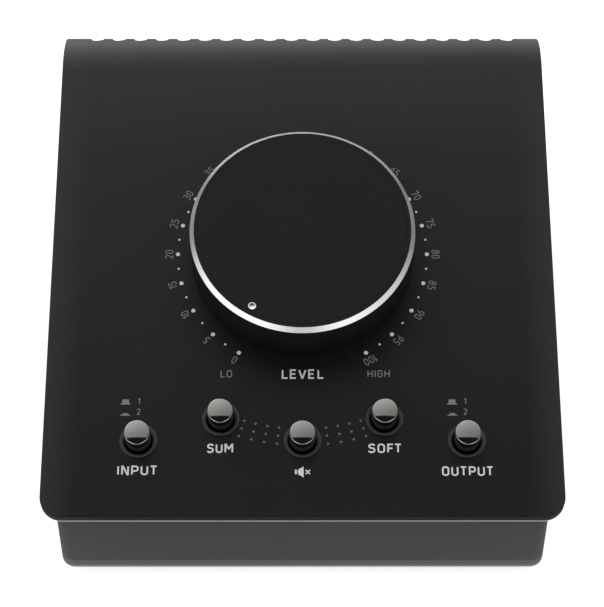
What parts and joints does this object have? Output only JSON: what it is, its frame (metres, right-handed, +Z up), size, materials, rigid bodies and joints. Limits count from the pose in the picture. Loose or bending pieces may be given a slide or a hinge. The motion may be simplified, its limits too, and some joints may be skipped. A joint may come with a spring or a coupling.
{
  "type": "studio monitor controller",
  "caption": "Desktop monitor controller: sloping black cover with a slotted rear bend, charcoal tray, big volume knob, domed push buttons and rear jack sockets.",
  "frame": {"origin": "on the table under the feet, at the middle of the object's bounding box", "axes": "+X to the right of the user, +Y from the front edge to the jack sockets, +Z up"},
  "size_m": [0.12, 0.1338, 0.0666],
  "materials": {
    "cover_paint": "smooth satin black powder coat",
    "tray_paint": "satin charcoal powder coat",
    "panel_paint": "satin black powder coat",
    "zinc_steel": "zinc plated",
    "black_steel": "black oxide",
    "nickel_steel": "nickel plated",
    "foot_rubber": "matte",
    "board_laminate": "solder mask over glass laminate",
    "chip_plastic": "moulded",
    "capacitor_sleeve": "shrunk sleeve",
    "cable_plastic": "flat grey cable",
    "socket_plastic": "moulded",
    "pot_steel": "plated can",
    "bushing_brass": "machined",
    "shaft_aluminium": "turned",
    "knob_anodised": "black anodised, satin",
    "knob_bright": "bright cut",
    "cap_chrome": "dark chrome",
    "plunger_plastic": "natural acetal",
    "switch_plastic": "moulded",
    "jack_plastic": "moulded",
    "lead_plastic": "wire insulation"
  },
  "bodies": {
    "chassis": {"top_cover": "cover_paint", "base_tray": "tray_paint", "rear_panel": "panel_paint", "bracket_left": "zinc_steel", "bracket_right": "zinc_steel", "cover_screws": "zinc_steel", "panel_screws": "black_steel", "foot_front_left": "foot_rubber", "foot_front_right": "foot_rubber", "foot_rear_left": "foot_rubber", "foot_rear_right": "foot_rubber", "control_board": "board_laminate", "control_spacers": "nickel_steel", "control_screws": "zinc_steel", "amp_chips": "chip_plastic", "capacitors": "capacitor_sleeve", "jack_board": "board_laminate", "regulator": "chip_plastic", "ribbon_cable": "cable_plastic", "ribbon_socket_top": "socket_plastic", "ribbon_socket_rear": "socket_plastic", "pot_body": "pot_steel", "pot_bushing": "bushing_brass", "pot_washer": "nickel_steel", "pot_nut": "nickel_steel", "jack_washers": "nickel_steel", "jack_nuts": "nickel_steel", "inlet_body": "socket_plastic", "inlet_nut": "nickel_steel", "inlet_leads": "lead_plastic", "source_switch": "switch_plastic", "mono_switch": "switch_plastic", "mute_switch": "switch_plastic", "dim_switch": "switch_plastic", "speaker_switch": "switch_plastic", "jack_upper_1": "jack_plastic", "jack_upper_2": "jack_plastic", "jack_upper_3": "jack_plastic", "jack_upper_4": "jack_plastic", "jack_lower_1": "jack_plastic", "jack_lower_2": "jack_plastic", "jack_lower_3": "jack_plastic", "jack_lower_4": "jack_plastic"},
    "knob": {"knob_body": "knob_anodised", "knob_ring": "knob_bright", "knob_pointer": "knob_bright", "knob_sleeve": "bushing_brass", "pot_shaft": "shaft_aluminium"},
    "source_button": {"source_cap": "cap_chrome", "source_plunger": "plunger_plastic"},
    "mono_button": {"mono_cap": "cap_chrome", "mono_plunger": "plunger_plastic"},
    "mute_button": {"mute_cap": "cap_chrome", "mute_plunger": "plunger_plastic"},
    "dim_button": {"dim_cap": "cap_chrome", "dim_plunger": "plunger_plastic"},
    "speaker_button": {"speaker_cap": "cap_chrome", "speaker_plunger": "plunger_plastic"}
  },
  "joints": [
    {"name": "volume_turn", "type": "hinge", "parent": "chassis", "child": "knob", "pos_m": [0, -0.00258, 0.04684], "axis": [0, 0.2588, -0.9659], "range_deg": [0, 300]},
    {"name": "source_press", "type": "slide", "parent": "chassis", "child": "source_button", "axis": [0, 0.2588, -0.9659], "range_m": [0, 0.0025], "stiffness_N_per_m": 500},
    {"name": "mono_press", "type": "slide", "parent": "chassis", "child": "mono_button", "axis": [0, 0.2588, -0.9659], "range_m": [0, 0.0025], "stiffness_N_per_m": 500},
    {"name": "mute_press", "type": "slide", "parent": "chassis", "child": "mute_button", "axis": [0, 0.2588, -0.9659], "range_m": [0, 0.0025], "stiffness_N_per_m": 500},
    {"name": "dim_press", "type": "slide", "parent": "chassis", "child": "dim_button", "axis": [0, 0.2588, -0.9659], "range_m": [0, 0.0025], "stiffness_N_per_m": 500},
    {"name": "speaker_press", "type": "slide", "parent": "chassis", "child": "speaker_button", "axis": [0, 0.2588, -0.9659], "range_m": [0, 0.0025], "stiffness_N_per_m": 500}
  ]
}
